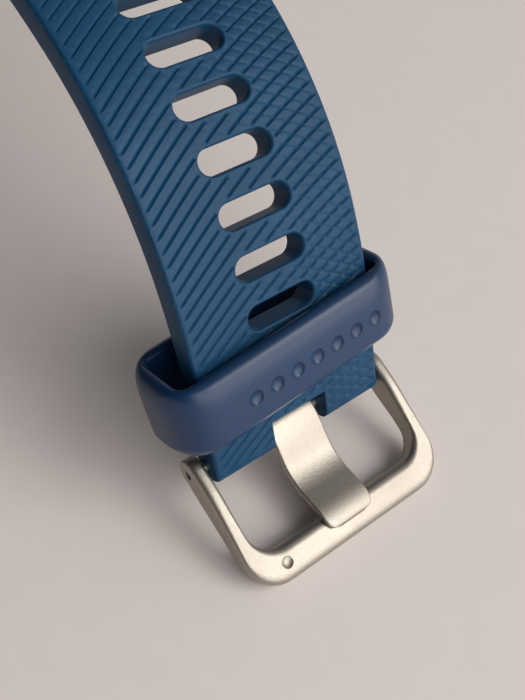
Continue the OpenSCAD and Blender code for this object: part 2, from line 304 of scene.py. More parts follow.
def strap_section(sizes, columns, slope):
    """The strap's closed cross section: place across, depth below the top and lag along."""
    r = sizes.edge_radius / MM
    half = STRAP_W / 2
    arc = [math.radians(a) for a in (90, 60, 30, 0)]
    corner = [(half - r + r * math.sin(a), -r * (1 - math.cos(a))) for a in arc]
    step = STRAP_W / columns
    top = [(-half + step * j, 0.0) for j in range(4, columns - 3)]
    left = [(-x, z) for x, z in corner]
    right = corner[::-1]
    under = [(x, -STRAP_T - z) for x, z in corner]
    flat = [(x, -STRAP_T) for x in (5, 0, -5)]
    under_left = [(-x, z) for x, z in under[::-1]]
    points = left + top + right + under + flat + under_left
    return [(x, z, slope * x - sizes.sag * x * x) for x, z in points]


def slot_distance(x, y):
    """How far a spot is outside a slot whose middle is at 0, 0."""
    return math.hypot(max(abs(x) - SLOT_HALF, 0), y) - SLOT_R


def ribbed_blank(sizes, length, divisions, width_at, plain):
    """A flat strap from y = 0 at its free end, its top at z = 0 with crossing grooves."""
    pitch = sizes.rib_pitch / MM
    columns = round(STRAP_W / (pitch / (2 * sizes.rib_slope * divisions)))
    slope = pitch / (2 * divisions * STRAP_W / columns)
    section = strap_section(sizes, columns, slope)
    bm = bmesh.new()
    ring = bmesh.ops.create_circle(bm, segments=len(section), radius=1)["verts"]
    start = -8 * pitch
    for v, (x, z, lag) in zip(ring, section):
        v.co = (x, start + lag, z)
    step = pitch / divisions
    rows = int((length + 16 * pitch) / step)
    bmesh.ops.spin(
        bm,
        geom=bm.verts[:] + bm.edges[:],
        cent=(0, 0, 0),
        axis=(1, 0, 0),
        dvec=(0, step, 0),
        angle=0,
        steps=rows,
    )
    for f in bm.faces[:]:
        if len(f.verts) == 4 and all(v.co.z > -1e-6 for v in f.verts):
            lags = sorted(f.verts, key=lambda v: v.co.x)
            a = max(lags[:2], key=lambda v: v.co.y)
            b = min(lags[2:], key=lambda v: v.co.y)
            bmesh.utils.face_split(f, a, b)
    for y, out in ((0, -1), (length, 1)):
        bmesh.ops.bisect_plane(
            bm,
            geom=bm.verts[:] + bm.edges[:] + bm.faces[:],
            plane_co=(0, y, 0),
            plane_no=(0, out, 0),
            clear_outer=True,
            dist=1e-4,
        )
    bmesh.ops.holes_fill(bm, edges=[e for e in bm.edges if e.is_boundary])
    deep, fine = sizes.groove_depth / MM, sizes.tick_depth / MM
    for v in bm.verts:
        x, y, z = v.co
        if z < -1e-6:
            continue
        warped = y + sizes.sag * x * x
        rows_on = (warped - slope * x) / pitch
        ticks_on = (warped + slope * x) / pitch
        to_groove = abs(rows_on - round(rows_on))
        to_tick = abs(ticks_on - round(ticks_on))
        shown = plain(x, y)
        groove = max(0, 1 - to_groove * divisions)
        tick = max(0, 1 - to_tick * divisions) * mix(0.4, 1, smooth(-8, 8, x))
        crown = sizes.rib_crown / MM * (1 - 2 * to_groove) ** 2
        v.co.z = -shown * max(deep * groove, fine * tick, crown)
    for v in bm.verts:
        v.co.x *= width_at(v.co.y) / (STRAP_W / 2)
    return bm


def slot_cutter(bm, matrix, sizes):
    """A slot's prism with both rims flared to leave rounded edges."""
    r = sizes.slot_rim / MM
    outline = []
    for i in range(44):
        a = 2 * math.pi * (i + 0.5) / 44
        n = Vector((math.cos(a), math.sin(a)))
        outline.append((Vector((math.copysign(SLOT_HALF, n.x), 0)) + n * SLOT_R, n))
    flare = [math.radians(a) for a in (0, 18, 36, 54, 72)]
    up = [(STRAP_T / 2 - r + r * math.sin(a), r * (1 - math.cos(a))) for a in flare]
    stations = [(2.4, r)] + up[::-1] + [(-z, o) for z, o in up] + [(-3.2, r)]

    def place(k, station):
        point, normal = outline[k]
        z, grow = station
        p = point + normal * grow
        return matrix @ Vector((p.x, p.y, z))

    loft(bm, len(outline), stations, place)


def bend(bm, side, path, run, first_y, nose_start, droop):
    """Lays a flat strap along its path; its free end wraps round a nose where there is one."""
    for v in bm.verts:
        x, y, z = v.co
        d = run - (y + first_y)
        h = (z + STRAP_T / 2) * half_t(max(d, 0)) / (STRAP_T / 2)
        over = 0.0
        center = d
        if d < 0:
            center, over = 0, d / BARREL_R
        elif nose_start and d > nose_start:
            center, over = nose_start, (d - nose_start) / (STRAP_T / 2)
        lift = h * math.cos(over)
        push = abs(h) * math.sin(over)
        if droop and h < 0:
            if d > nose_start:
                lift -= BAR_DROP
            else:
                lift += BAR_DROP * smooth(nose_start - 4.6, nose_start, d) * h / (STRAP_T / 2)
        matrix = strap_frame(side, along(path, center))
        v.co = matrix @ Vector((side * x, push, lift))
    return bm


def build_buckle_half(sizes, material):
    nose = math.pi / 2 * STRAP_T / 2
    first = BUCKLE_RUN - NOSE_START - nose
    barrel = math.radians(80) * BARREL_R
    length = BUCKLE_RUN - first + barrel
    slots = [14 + SLOT_PITCH * i for i in range(8)]

    def plain(x, y):
        s = y + first
        shown = smooth(0.45, 0.85, STRAP_W / 2 - abs(x)) * smooth(-1.5, -1.1, s)
        shown *= 1 - smooth(54, 57, s)
        near = min(slot_distance(x, s - c) for c in slots)
        shown *= smooth(0.3, 0.5, near)
        if s < NOTCH_END + 1 and abs(x) < NOTCH_HALF + 1:
            gap = max(abs(x) - NOTCH_HALF, s - NOTCH_END)
            shown *= smooth(0.1, 0.35, gap)
        return shown

    bm = ribbed_blank(sizes, length, 6, lambda y: STRAP_W / 2, plain)
    bend(bm, -1, BUCKLE_PATH, BUCKLE_RUN, first, NOSE_START, True)
    cutter = bmesh.new()
    for s in slots:
        at = strap_frame(-1, along(BUCKLE_PATH, BUCKLE_RUN - s))
        slot_cutter(cutter, at, sizes)
    end = strap_frame(-1, along(BUCKLE_PATH, BUCKLE_RUN))
    notch = box_cutter(
        cutter, (-NOTCH_HALF, -NOTCH_END, -4), (NOTCH_HALF, 6, 4), end
    )
    inner = [
        e
        for e in {e for v in notch for e in v.link_edges}
        if all((end.inverted() @ v.co).y < 0 for v in e.verts)
        and abs((e.verts[0].co - e.verts[1].co).normalized() @ end.col[2].to_3d()) > 0.9
    ]
    bmesh.ops.bevel(
        cutter, geom=inner, affect="EDGES", offset=0.5, segments=4, profile=0.5, material=-1
    )
    lug = strap_frame(-1, (0, 0, 0))
    box_cutter(cutter, (-7.5, -0.8, -4), (-4.2, 0.8, -0.5), lug)
    bm = carve(bm, cutter)
    bores = bmesh.new()
    rod_cutter(bores, LUG_BORE_R, -14, 14, lug)
    bar = strap_frame(-1, along(BUCKLE_PATH, NOSE_START)) @ Matrix.Translation(
        (0, 0, -BAR_DROP)
    )
    rod_cutter(bores, BUCKLE_BORE_R, -14, 14, bar)
    bm = carve(bm, bores)
    return finish(
        bm, "ribbed_buckle_half", "buckle_half", material, ["buckle_strap"]
    )


def build_tail_half(sizes, material):
    path = tail_path()
    barrel = math.radians(80) * BARREL_R
    slots = [TAIL_TIP_R + SLOT_PITCH * i for i in range(14)]

    def width_at(y):
        if y >= TAIL_TIP_R:
            return STRAP_W / 2
        r = TAIL_TIP_R
        return STRAP_W / 2 - r + math.sqrt(max(0, r**2 - (r - y) ** 2))

    def plain(x, y):
        wide = width_at(y)
        edge = (STRAP_W / 2 - abs(x)) * wide / (STRAP_W / 2)
        shown = smooth(0.45, 0.85, edge) * smooth(0.7, 1.3, y)
        shown *= 1 - smooth(109, 112, y)
        near = min(slot_distance(x * wide / (STRAP_W / 2), y - c) for c in slots)
        return shown * smooth(0.3, 0.5, near)

    bm = ribbed_blank(sizes, TAIL_L + barrel, 5, width_at, plain)
    for v in bm.verts:
        inset = max(0, 0.5 - v.co.y)
        share = math.sqrt(max(0, 1 - (inset / 0.6) ** 2))
        v.co.z = -STRAP_T / 2 + (v.co.z + STRAP_T / 2) * mix(0.72, 1, share)
    bend(bm, 1, path, TAIL_L, 0, None, False)
    cutter = bmesh.new()
    for s in slots:
        slot_cutter(cutter, strap_frame(1, along(path, TAIL_L - s)), sizes)
    lug = strap_frame(1, (0, 0, 0))
    box_cutter(cutter, (4.2, -0.8, -4), (7.5, 0.8, -0.5), lug)
    bm = carve(bm, cutter)
    bores = bmesh.new()
    rod_cutter(bores, LUG_BORE_R, -14, 14, lug)
    bm = carve(bm, bores)
    return finish(
        bm, "ribbed_tail_half", "tail_half", material, ["tail_strap"]
    )


# ---- Keeper ----


def rounded_loop(width, height, radius, corner=10, across=14, up=4):
    """Points and outward normals of a rounded rectangle, in equal steps."""
    points = []
    sides = (
        (1, 1, (1, 0), (0, 1), up),
        (-1, 1, (0, 1), (-1, 0), across),
        (-1, -1, (-1, 0), (0, -1), up),
        (1, -1, (0, -1), (1, 0), across),
    )
    previous = Vector((width / 2 - radius, -height / 2 + radius))
    for sx, sy, face, ahead, steps in sides:
        middle = Vector((sx * (width / 2 - radius), sy * (height / 2 - radius)))
        n = Vector(face)
        for i in range(1, steps):
            points.append((previous.lerp(middle, i / steps) + n * radius, n.copy()))
        for i in range(corner + 1):
            a = math.pi / 2 * i / corner
            n = Vector(face) * math.cos(a) + Vector(ahead) * math.sin(a)
            points.append((middle + n * radius, n))
        previous = middle
    return points


def build_keeper(sizes, material):
    low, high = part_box("keeper")
    shift = (low.x + high.x) / 2 / MM
    tall = KEEPER_DEPTH + 2 * KEEPER_WALL
    outer = rounded_loop(KEEPER_W, tall, KEEPER_R, 12)
    inner = rounded_loop(KEEPER_W - 2 * KEEPER_WALL, KEEPER_DEPTH, KEEPER_INNER_R, 12)
    middle = (-shift, -KEEPER_S - KEEPER_L / 2, KEEPER_FRONT - KEEPER_DEPTH / 2)
    at = (
        strap_frame(-1, along(BUCKLE_PATH, BUCKLE_RUN))
        @ Matrix.Translation(middle)
        @ Matrix.Rotation(KEEPER_SKEW, 4, "Z")
    )
    # Distance along the strap, then the share of the wall from inside to outside
    profile = [
        (0.30, 0.00), (0.12, 0.04), (0.02, 0.12), (0.0, 0.25), (0.0, 0.52),
        (0.06, 0.62), (0.22, 0.74), (0.80, 0.955), (0.95, 0.99), (1.15, 1.0),
        (2.2, 1.0), (3.4, 1.0), (4.6, 1.0), (5.4, 0.995), (6.1, 0.975),
        (6.7, 0.93), (7.2, 0.86), (7.55, 0.76), (7.8, 0.64), (7.95, 0.48),
        (8.0, 0.33), (7.96, 0.2), (7.85, 0.1), (7.65, 0.03), (7.4, 0.0),
        (5.0, 0.0), (2.5, 0.0), (0.30, 0.00),
    ]  # fmt: skip

    def place(k, station):
        t, share = station
        p = inner[k][0].lerp(outer[k][0], share)
        return at @ Vector((p.x, KEEPER_L / 2 - t, p.y))

    bm = bmesh.new()
    loft(bm, len(outer), profile, place, closed=True)
    cutter = bmesh.new()
    for i in range(sizes.dimples):
        x = mix(-6.4, 9.2, i / (sizes.dimples - 1))
        spot = Matrix.Translation(at @ Vector((shift - x, 0.3, tall / 2 + DIMPLE_RISE)))
        bmesh.ops.create_uvsphere(
            cutter, u_segments=32, v_segments=24, radius=DIMPLE_R, matrix=spot
        )
    bm = carve(bm, cutter)
    return finish(bm, "moulded_keeper", "keeper_loop", material, ["keeper"], 40)


# ---- Buckle ----


def frame_levels(a):
    """Bottom and top of the buckle's arms at a distance from the spring bar."""
    if a < 0:
        c = math.sqrt(max(0, 1 - (a / KNOB_R) ** 2))
        return -KNOB_R * c, KNOB_R * c
    top = mix(KNOB_R, BAR_TOP, smooth(-0.8, 3.2, a))
    if a < 0.8:
        bottom = mix(-KNOB_R, -1.5, a / 0.8)
    else:
        bottom = mix(-1.5, BAR_BOTTOM, smooth(0.4, 9.5, a))
    return bottom, top


def build_buckle_frame(material):
    at = buckle_frame_at()
    inner_x, outer_x = BUCKLE_W / 2 - ARM_W, BUCKLE_W / 2
    inner_a, outer_a = BUCKLE_L - CROSS_BAR_W, BUCKLE_L - 0.002
    # Inner and outer edge of a cut across the bow, and its share of the cross bar's shape
    stations = []
    for angle in (80, 62, 44, 22):
        a = -KNOB_R * math.sin(math.radians(angle))
        stations.append(((inner_x, a), (outer_x, a), 0))
    arm = [(0, 0), (0.8, 0.8), (1.8, 1.9), (3, 3.4), (4.6, 5.6), (6.2, 8), (7.7, 10.4)]
    stations += [((inner_x, i), (outer_x, o), 0) for i, o in arm]
    for k in range(1, 9):
        f = math.radians(90 * k / 8)
        c, s = 1 - math.cos(f), 1 - math.sin(f)
        inside = (inner_x - WINDOW_R * c, inner_a - WINDOW_R * s)
        outside = (outer_x - BUCKLE_R * c, outer_a - BUCKLE_R * s)
        stations.append((inside, outside, k / 8))
    stations += [((x, inner_a), (x * 1.02, outer_a), 1) for x in (6.5, 4.4, 2, 0)]
    mirrored = [((-i[0], i[1]), (-o[0], o[1]), b) for i, o, b in stations[-2::-1]]
    stations += mirrored
    corners = ((0, 0, 1, 1), (1, 0, -1, 1), (1, 1, -1, -1), (0, 1, 1, -1))

    def place(k, station):
        inside, outside, bar = station
        c, step = divmod(k, 6)
        side, level, sx, sz = corners[c]
        i, o = Vector(inside), Vector(outside)
        a = (i.y + o.y) / 2
        b0, b1 = frame_levels(a)
        if bar:
            b0 = mix(b0, BAR_BOTTOM, bar)
        wide, tall = (o - i).length, b1 - b0
        r = mix((0.35, 0.45, 0.6, 0.55)[c], (0.5, 1.25, 1.25, 1.0)[c], bar)
        r = min(r, wide * 0.45, tall * 0.4999)
        turn = math.radians(18 * step + 180 + 90 * c)
        w = side * wide + sx * r + r * math.cos(turn)
        b = b0 + level * tall + sz * r + r * math.sin(turn)
        p = i + (o - i).normalized() * w
        return at @ Vector((p.x, p.y, b))

    bm = bmesh.new()
    loft(bm, 24, stations, place)
    cutter = bmesh.new()
    rod_cutter(cutter, PIN_HOLE_R, -14, 14, at)
    hollow = Matrix.Translation(at @ Vector((-9.0, 12.4, BAR_TOP + 0.75)))
    bmesh.ops.create_uvsphere(cutter, u_segments=32, v_segments=24, radius=1.0, matrix=hollow)
    tongue_shape(cutter, 0.06, TONGUE_W + 0.14, flat=True)
    bm = carve(bm, cutter)
    return finish(
        bm, "blasted_buckle_frame", "buckle", material, ["buckle_frame"], 38
    )


TONGUE_PATH = [(2.6, 14), (1.4, 0), (4.4, -44), (1.9, 0), (2.4, 34)]
TONGUE_RUN, TONGUE_LIFT, TONGUE_T, TONGUE_SHIFT = 13.0, 0.88, 0.9, -0.3
TONGUE_W, LOOP_MIDDLE_R, LOOP_T, TIP_R = 6.2, 1.075, 0.55, 1.3


def tongue_shape(bm, grow, wide, flat=False):
    """The tongue: round its bar, down, up and over the cross bar; flat leaves out its loop."""
    at = buckle_frame_at() @ Matrix.Translation((TONGUE_SHIFT, 0, 0))
    stations = []
    if not flat:
        for turn in range(-285, 0, 15):
            p = math.radians(turn)
            a, b = LOOP_MIDDLE_R * math.sin(p), LOOP_MIDDLE_R * math.cos(p)
            stations.append((a, b, turn, LOOP_T, wide / 2))
    steps = 44
    for k in range(steps + 1):
        d = TONGUE_RUN * k / steps
        a, b, heading = along(TONGUE_PATH, d)
        thick = TONGUE_T + 2 * grow
        lift = TONGUE_LIFT
        half = wide / 2
        if not flat:
            ease = smooth(0, 1.2, d)
            thick, lift = mix(LOOP_T, thick, ease), mix(LOOP_MIDDLE_R, lift, ease)
        left = TONGUE_RUN - d
        if left < TIP_R:
            half -= TIP_R - math.sqrt(max(0.0, TIP_R**2 - (TIP_R - left) ** 2)) * 0.97
        if left < 0.45 and not flat:
            thick *= mix(0.45, 1, math.sqrt(1 - (1 - left / 0.45) ** 2))
        stations.append((a, b + lift, heading, thick, half))

    def place(k, station):
        a, b, heading, thick, half = station
        corner, step = divmod(k, 5)
        r = min(0.26, thick * 0.45)
        sx, sz = ((1, 1), (-1, 1), (-1, -1), (1, -1))[corner]
        turn = math.radians(22.5 * step + 90 * corner)
        x = sx * (half - r) + r * math.cos(turn)
        n = sz * (thick / 2 - r) + r * math.sin(turn)
        h = math.radians(heading)
        return at @ Vector((x, a + n * math.sin(h), b + n * math.cos(h)))

    loft(bm, 20, stations, place)


def build_tongue(material):
    bm = bmesh.new()
    tongue_shape(bm, 0, TONGUE_W)
    return finish(
        bm, "bent_buckle_tongue", "tongue", material, ["buckle_tongue"], 50
    )


# ---- Materials ----


def group_socket(group, name, kind, default=None, out=False):
    socket = group.interface.new_socket(
        name=name, in_out="OUTPUT" if out else "INPUT", socket_type=kind
    )
    if default is not None:
        socket.default_value = default


def link(tree, start, end):
    tree.links.new(start, end)


def grain_group():
    """Colour patches, uneven gloss and a fine grain, as moulded or blasted surfaces have."""
    group = bpy.data.node_groups.get("Patch and grain")
    if group:
        return group
    group = bpy.data.node_groups.new("Patch and grain", "ShaderNodeTree")
    for name, default in (
        ("Patch Scale", 90.0),
        ("Grain Scale", 3000.0),
        ("Roughness Low", 0.4),
        ("Roughness High", 0.5),
        ("Speck Amount", 0.2),
    ):
        group_socket(group, name, "NodeSocketFloat", default)
    group_socket(group, "Vector", "NodeSocketVector")
    group_socket(group, "Colour", "NodeSocketColor", (0.5, 0.5, 0.5, 1))
    group_socket(group, "Patch Colour", "NodeSocketColor", (0.4, 0.4, 0.4, 1))
    group_socket(group, "Colour", "NodeSocketColor", out=True)
    group_socket(group, "Roughness", "NodeSocketFloat", out=True)
    group_socket(group, "Height", "NodeSocketFloat", out=True)
    nodes = group.nodes
    start, end = nodes.new("NodeGroupInput"), nodes.new("NodeGroupOutput")
    patch, grain, speck = (nodes.new("ShaderNodeTexNoise") for _ in range(3))
    patch.inputs["Detail"].default_value = 4
    grain.inputs["Detail"].default_value = 2
    speck.inputs["Detail"].default_value = 1
    for noise in (patch, grain, speck):
        link(group, start.outputs["Vector"], noise.inputs["Vector"])
    link(group, start.outputs["Patch Scale"], patch.inputs["Scale"])
    link(group, start.outputs["Grain Scale"], grain.inputs["Scale"])
    finer = nodes.new("ShaderNodeMath")
    finer.operation = "MULTIPLY"
    finer.inputs[1].default_value = 0.45
    link(group, start.outputs["Grain Scale"], finer.inputs[0])
    link(group, finer.outputs[0], speck.inputs["Scale"])
    spread = nodes.new("ShaderNodeMapRange")
    spread.inputs["From Min"].default_value = 0.35
    spread.inputs["From Max"].default_value = 0.65
    link(group, patch.outputs["Fac"], spread.inputs["Value"])
    blend = nodes.new("ShaderNodeMix")
    blend.data_type = "RGBA"
    link(group, spread.outputs["Result"], blend.inputs["Factor"])
    link(group, start.outputs["Colour"], blend.inputs["A"])
    link(group, start.outputs["Patch Colour"], blend.inputs["B"])
    bright = nodes.new("ShaderNodeMapRange")
    bright.inputs["From Min"].default_value = 0.3
    bright.inputs["From Max"].default_value = 0.7
    bright.inputs["To Min"].default_value = 0.7
    bright.inputs["To Max"].default_value = 1.3
    link(group, speck.outputs["Fac"], bright.inputs["Value"])
    grey = nodes.new("ShaderNodeCombineColor")
    for k in range(3):
        link(group, bright.outputs["Result"], grey.inputs[k])
    speckle = nodes.new("ShaderNodeMix")
    speckle.data_type = "RGBA"
    speckle.blend_type = "MULTIPLY"
    link(group, start.outputs["Speck Amount"], speckle.inputs["Factor"])
    link(group, blend.outputs["Result"], speckle.inputs["A"])
    link(group, grey.outputs["Color"], speckle.inputs["B"])
    link(group, speckle.outputs["Result"], end.inputs["Colour"])
    gloss = nodes.new("ShaderNodeMapRange")
    gloss.inputs["From Min"].default_value = 0.3
    gloss.inputs["From Max"].default_value = 0.7
    link(group, patch.outputs["Fac"], gloss.inputs["Value"])
    link(group, start.outputs["Roughness Low"], gloss.inputs["To Min"])
    link(group, start.outputs["Roughness High"], gloss.inputs["To Max"])
    link(group, gloss.outputs["Result"], end.inputs["Roughness"])
    link(group, grain.outputs["Fac"], end.inputs["Height"])
    return group


def brushed_group():
    """Fine drawn or turned lines as a height."""
    group = bpy.data.node_groups.get("Brushed lines")
    if group:
        return group
    group = bpy.data.node_groups.new("Brushed lines", "ShaderNodeTree")
    group_socket(group, "Vector", "NodeSocketVector")
    group_socket(group, "Stretch", "NodeSocketVector", (40.0, 2500.0, 2500.0))
    group_socket(group, "Height", "NodeSocketFloat", out=True)
    nodes = group.nodes
    start, end = nodes.new("NodeGroupInput"), nodes.new("NodeGroupOutput")
    scale = nodes.new("ShaderNodeVectorMath")
    scale.operation = "MULTIPLY"
    link(group, start.outputs["Vector"], scale.inputs[0])
    link(group, start.outputs["Stretch"], scale.inputs[1])
    noise = nodes.new("ShaderNodeTexNoise")
    noise.inputs["Scale"].default_value = 1
    noise.inputs["Detail"].default_value = 3
    link(group, scale.outputs[0], noise.inputs["Vector"])
    link(group, noise.outputs["Fac"], end.inputs["Height"])
    return group


def number(tree, operation, first, second=0.5):
    """A Math node fed by sockets or plain numbers."""
    node = tree.nodes.new("ShaderNodeMath")
    node.operation = operation
    for k, value in enumerate((first, second)):
        if isinstance(value, (int, float)):
            node.inputs[k].default_value = value
        else:
            link(tree, value, node.inputs[k])
    return node.outputs[0]


def ticks_group():
    """Marks in a ring round the case's middle, with a broader one at every hour."""
    group = bpy.data.node_groups.get("Ring of ticks")
    if group:
        return group
    group = bpy.data.node_groups.new("Ring of ticks", "ShaderNodeTree")
    group_socket(group, "Vector", "NodeSocketVector")
    group_socket(group, "Inner", "NodeSocketFloat", 0.0138)
    group_socket(group, "Outer", "NodeSocketFloat", 0.0148)
    group_socket(group, "Mask", "NodeSocketFloat", out=True)
    start, end = group.nodes.new("NodeGroupInput"), group.nodes.new("NodeGroupOutput")
    parts = group.nodes.new("ShaderNodeSeparateXYZ")
    link(group, start.outputs["Vector"], parts.inputs[0])
    x, y = parts.outputs["X"], parts.outputs["Y"]
    squares = [number(group, "MULTIPLY", v, v) for v in (x, y)]
    far = number(group, "SQRT", number(group, "ADD", *squares))
    turn = number(group, "DIVIDE", number(group, "ARCTAN2", y, x), 2 * math.pi)
    near = []
    for count, half in ((60, 0.00012), (12, 0.00028)):
        off = number(group, "PINGPONG", number(group, "MULTIPLY", turn, count), 0.5)
        step = number(group, "MULTIPLY", far, 2 * math.pi / count)
        arc = number(group, "MULTIPLY", off, step)
        near.append(number(group, "LESS_THAN", arc, half))
    ring = number(
        group,
        "MULTIPLY",
        number(group, "GREATER_THAN", far, start.outputs["Inner"]),
        number(group, "LESS_THAN", far, start.outputs["Outer"]),
    )
    either = number(group, "MAXIMUM", *near)
    link(group, number(group, "MULTIPLY", ring, either), end.inputs["Mask"])
    return group


def patch_mask(tree, spot, middle, reach, soft):
    """1 inside an ellipse, given in metres, and 0 outside it."""
    away = tree.nodes.new("ShaderNodeMapping")
    away.vector_type = "TEXTURE"
    away.inputs["Location"].default_value = (*middle, 0.009)
    away.inputs["Scale"].default_value = (*reach, 1)
    link(tree, spot, away.inputs["Vector"])
    far = tree.nodes.new("ShaderNodeVectorMath")
    far.operation = "LENGTH"
    link(tree, away.outputs[0], far.inputs[0])
    inside = tree.nodes.new("ShaderNodeMapRange")
    inside.inputs["From Min"].default_value = 1 + soft
    inside.inputs["From Max"].default_value = 1 - soft
    link(tree, far.outputs["Value"], inside.inputs["Value"])
    return inside.outputs["Result"]


def lay_over(tree, under, over, mask):
    """One plain colour over a colour socket where the mask is 1."""
    blend = tree.nodes.new("ShaderNodeMix")
    blend.data_type = "RGBA"
    link(tree, mask, blend.inputs["Factor"])
    link(tree, under, blend.inputs["A"])
    blend.inputs["B"].default_value = (*over, 1)
    return blend.outputs["Result"]


def add_ticks(material, inner, outer, colour):
    """Pale ticks in a ring on a finish."""
    tree = material.node_tree
    base = tree.nodes["Principled BSDF"].inputs["Base Color"]
    ticks = tree.nodes.new("ShaderNodeGroup")
    ticks.node_tree = ticks_group()
    ticks.inputs["Inner"].default_value = inner
    ticks.inputs["Outer"].default_value = outer
    place = tree.nodes.new("ShaderNodeTexCoord")
    link(tree, place.outputs["Object"], ticks.inputs["Vector"])
    marked = lay_over(tree, base.links[0].from_socket, colour, ticks.outputs["Mask"])
    link(tree, marked, base)
    return marked


# What the display shows, from the ground up: middle, reach, colour and softness of each patch
HOLE_MAP = (
    ((0.0, 0.0), (0.0126, 0.0126), (0.004, 0.035, 0.012), 0.02),
    ((0.0012, -0.0008), (0.0056, 0.0100), (0.020, 0.120, 0.030), 0.10),
    ((-0.0052, 0.0030), (0.0026, 0.0044), (0.010, 0.100, 0.300), 0.05),
    ((0.0012, -0.0048), (0.0026, 0.0034), (0.110, 0.380, 0.080), 0.06),
    ((0.0018, 0.0010), (0.0023, 0.0050), (0.110, 0.380, 0.080), 0.06),
    ((0.0010, 0.0060), (0.0029, 0.0023), (0.250, 0.650, 0.160), 0.04),
    ((0.0048, 0.0048), (0.0012, 0.0017), (0.780, 0.650, 0.380), 0.06),
    ((-0.0022, -0.0016), (0.0009, 0.0014), (0.780, 0.650, 0.380), 0.06),
    ((0.0012, 0.0064), (0.0004, 0.0004), (0.850, 0.050, 0.030), 0.20),
)


def show_hole(material):
    """A plain golf hole seen from above, lit on the display."""
    tree = material.node_tree
    shader = tree.nodes["Principled BSDF"]
    place = tree.nodes.new("ShaderNodeTexCoord")
    colour = shader.inputs["Base Color"].links[0].from_socket
    for middle, reach, over, soft in HOLE_MAP:
        mask = patch_mask(tree, place.outputs["Object"], middle, reach, soft)
        colour = lay_over(tree, colour, over, mask)
    link(tree, colour, shader.inputs["Base Color"])
    lit = add_ticks(material, 0.0134, 0.0146, (0.6, 0.64, 0.66))
    link(tree, lit, shader.inputs["Emission Color"])
    shader.inputs["Emission Strength"].default_value = 0.35


def new_material(
    name, colour, patch, rough, metallic=0.0, grain=3000.0, bump=0.05, patch_scale=90.0,
    speck=0.15, brushed=None, **sockets,
):  # fmt: skip
    """A finish: two close colours in patches, a gloss range, fine grain or brushed lines."""
    material = bpy.data.materials.new(name)
    material.use_nodes = True
    tree = material.node_tree
    shader = tree.nodes["Principled BSDF"]
    place = tree.nodes.new("ShaderNodeTexCoord")
    finish_of = tree.nodes.new("ShaderNodeGroup")
    finish_of.node_tree = grain_group()
    link(tree, place.outputs["Object"], finish_of.inputs["Vector"])
    finish_of.inputs["Patch Scale"].default_value = patch_scale
    finish_of.inputs["Grain Scale"].default_value = grain
    finish_of.inputs["Roughness Low"].default_value = rough[0]
    finish_of.inputs["Roughness High"].default_value = rough[1]
    finish_of.inputs["Speck Amount"].default_value = speck
    finish_of.inputs["Colour"].default_value = (*colour, 1)
    finish_of.inputs["Patch Colour"].default_value = (*patch, 1)
    link(tree, finish_of.outputs["Colour"], shader.inputs["Base Color"])
    link(tree, finish_of.outputs["Roughness"], shader.inputs["Roughness"])
    shader.inputs["Metallic"].default_value = metallic
    height = finish_of.outputs["Height"]
    if brushed:
        lines = tree.nodes.new("ShaderNodeGroup")
        lines.node_tree = brushed_group()
        link(tree, place.outputs["Object"], lines.inputs["Vector"])
        lines.inputs["Stretch"].default_value = brushed
        height = lines.outputs["Height"]
    dent = tree.nodes.new("ShaderNodeBump")
    dent.inputs["Strength"].default_value = bump
    dent.inputs["Distance"].default_value = 0.0002
    link(tree, height, dent.inputs["Height"])
    link(tree, dent.outputs["Normal"], shader.inputs["Normal"])
    for socket, value in sockets.items():
        shader.inputs[socket.replace("_", " ")].default_value = value
    return material


def shade(colour, share):
    return tuple(c * share for c in colour)


def paint(names, material):
    """Gives carried frame nodes a finish."""
    for name in names:
        mesh = frame["nodes"][name].data
        if not mesh.materials:
            mesh.materials.append(material)
        for k in range(len(mesh.materials)):
            mesh.materials[k] = material


# ---- Sizes and colours ----


class WatchSizes(bpy.types.PropertyGroup):
    """Sizes of the surface detail."""

    rib_pitch: FloatProperty(
        name="Rib pitch", description="Distance between ribs along the strap",
        default=1.25 * MM, unit="LENGTH",
    )  # fmt: skip
    rib_slope: FloatProperty(
        name="Rib slope", description="How far a rib climbs for its way across the strap",
        default=0.483,
    )  # fmt: skip
    sag: FloatProperty(
        name="Rib sag", description="How much the ribs bow along the strap, per millimetre squared",
        default=0.0082,
    )  # fmt: skip
    groove_depth: FloatProperty(
        name="Groove depth", description="Depth of the grooves between ribs",
        default=0.2 * MM, unit="LENGTH",
    )  # fmt: skip
    tick_depth: FloatProperty(
        name="Tick depth", description="Depth of the crossing grooves",
        default=0.07 * MM, unit="LENGTH",
    )  # fmt: skip
    rib_crown: FloatProperty(
        name="Rib crown", description="How much a rib is rounded", default=0.05 * MM, unit="LENGTH"
    )
    edge_radius: FloatProperty(
        name="Strap edge radius", description="Rounding of the strap's long edges",
        default=0.45 * MM, unit="LENGTH",
    )  # fmt: skip
    slot_rim: FloatProperty(
        name="Slot rim radius", description="Rounding round each slot",
        default=0.35 * MM, unit="LENGTH",
    )  # fmt: skip
    dimples: IntProperty(
        name="Keeper dimples", description="Number of round dimples on the keeper", default=7, min=2
    )


class WatchColours(bpy.types.PropertyGroup):
    """Colours of the finishes."""

    strap: FloatVectorProperty(
        name="Strap", description="Rubber of both strap halves", subtype="COLOR",
        default=(0.004, 0.050, 0.118),
    )  # fmt: skip
    keeper: FloatVectorProperty(
        name="Keeper", description="Rubber of the keeper", subtype="COLOR",
        default=(0.002, 0.027, 0.086),
    )  # fmt: skip
    steel: FloatVectorProperty(
        name="Buckle", description="Blasted steel of the buckle", subtype="COLOR",
        default=(0.42, 0.38, 0.33),
    )  # fmt: skip
    case: FloatVectorProperty(
        name="Case", description="Moulded case shell", subtype="COLOR",
        default=(0.035, 0.038, 0.045),
    )  # fmt: skip
    table: FloatVectorProperty(
        name="Table", description="Pale table under the watch", subtype="COLOR",
        default=(0.76, 0.69, 0.665),
    )  # fmt: skip


# ---- Operators ----


